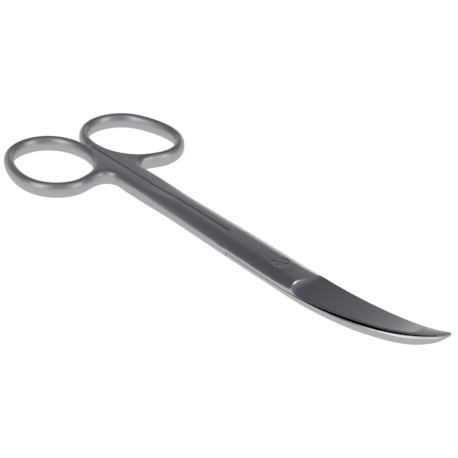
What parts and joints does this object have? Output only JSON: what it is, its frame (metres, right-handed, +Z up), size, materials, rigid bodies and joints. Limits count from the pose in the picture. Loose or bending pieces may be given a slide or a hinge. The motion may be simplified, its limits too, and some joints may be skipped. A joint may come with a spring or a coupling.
{
  "type": "dissecting scissors",
  "caption": "Slender surgical scissors with blades that curve upward, one tip narrow and one blunt, oval finger rings and a flush slotted pivot screw.",
  "frame": {"origin": "on the pivot's axis, at the underside where the shut scissors rest on a table", "axes": "+X runs along the shanks to the tips, +Z points up, the way the tips curve, and +Y completes the right-handed frame"},
  "size_m": [0.1446, 0.047, 0.0127],
  "materials": {
    "satin_steel": "satin",
    "screw_steel": "satin, turned"
  },
  "bodies": {
    "lower": {"lower_half": "satin_steel", "pivot_screw": "screw_steel"},
    "upper": {"upper_half": "satin_steel"}
  },
  "joints": [
    {"name": "pivot", "type": "hinge", "parent": "lower", "child": "upper", "pos_m": [0, 0, 0], "axis": [0, 0, 1], "range_deg": [0, 110]}
  ]
}
